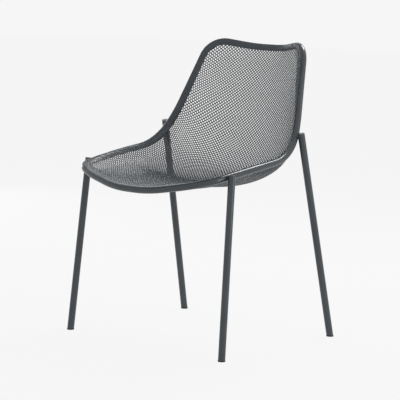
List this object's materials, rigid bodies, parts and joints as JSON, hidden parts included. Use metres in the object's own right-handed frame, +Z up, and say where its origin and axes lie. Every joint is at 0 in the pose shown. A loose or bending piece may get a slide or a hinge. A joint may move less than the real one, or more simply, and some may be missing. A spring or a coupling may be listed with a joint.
{
  "type": "stacking chair",
  "caption": "Metal stacking chair: a bent tube rim holds a pressed mesh bucket shell and stands on splayed round tube legs with level plastic glides.",
  "frame": {"origin": "on the floor under the middle of the chair's overall box", "axes": "+Z up, the chair faces -Y, +X is the sitter's left"},
  "size_m": [0.5692, 0.577, 0.8009],
  "materials": {
    "frame": "satin anthracite powder coat",
    "mesh": "satin anthracite powder coat on expanded mesh",
    "glide": "matt black moulded plastic"
  },
  "bodies": {
    "root": {"rim_tube": "frame", "rim_seam_weld": "frame", "seat_shell": "mesh", "front_left_leg": "frame", "front_right_leg": "frame", "rear_left_leg": "frame", "rear_right_leg": "frame", "front_left_leg_cap": "frame", "front_right_leg_cap": "frame", "rear_left_leg_cap": "frame", "rear_right_leg_cap": "frame", "front_left_weld": "frame", "front_right_weld": "frame", "rear_left_weld": "frame", "rear_right_weld": "frame", "front_left_glide": "glide", "front_right_glide": "glide", "rear_left_glide": "glide", "rear_right_glide": "glide"}
  },
  "joints": []
}
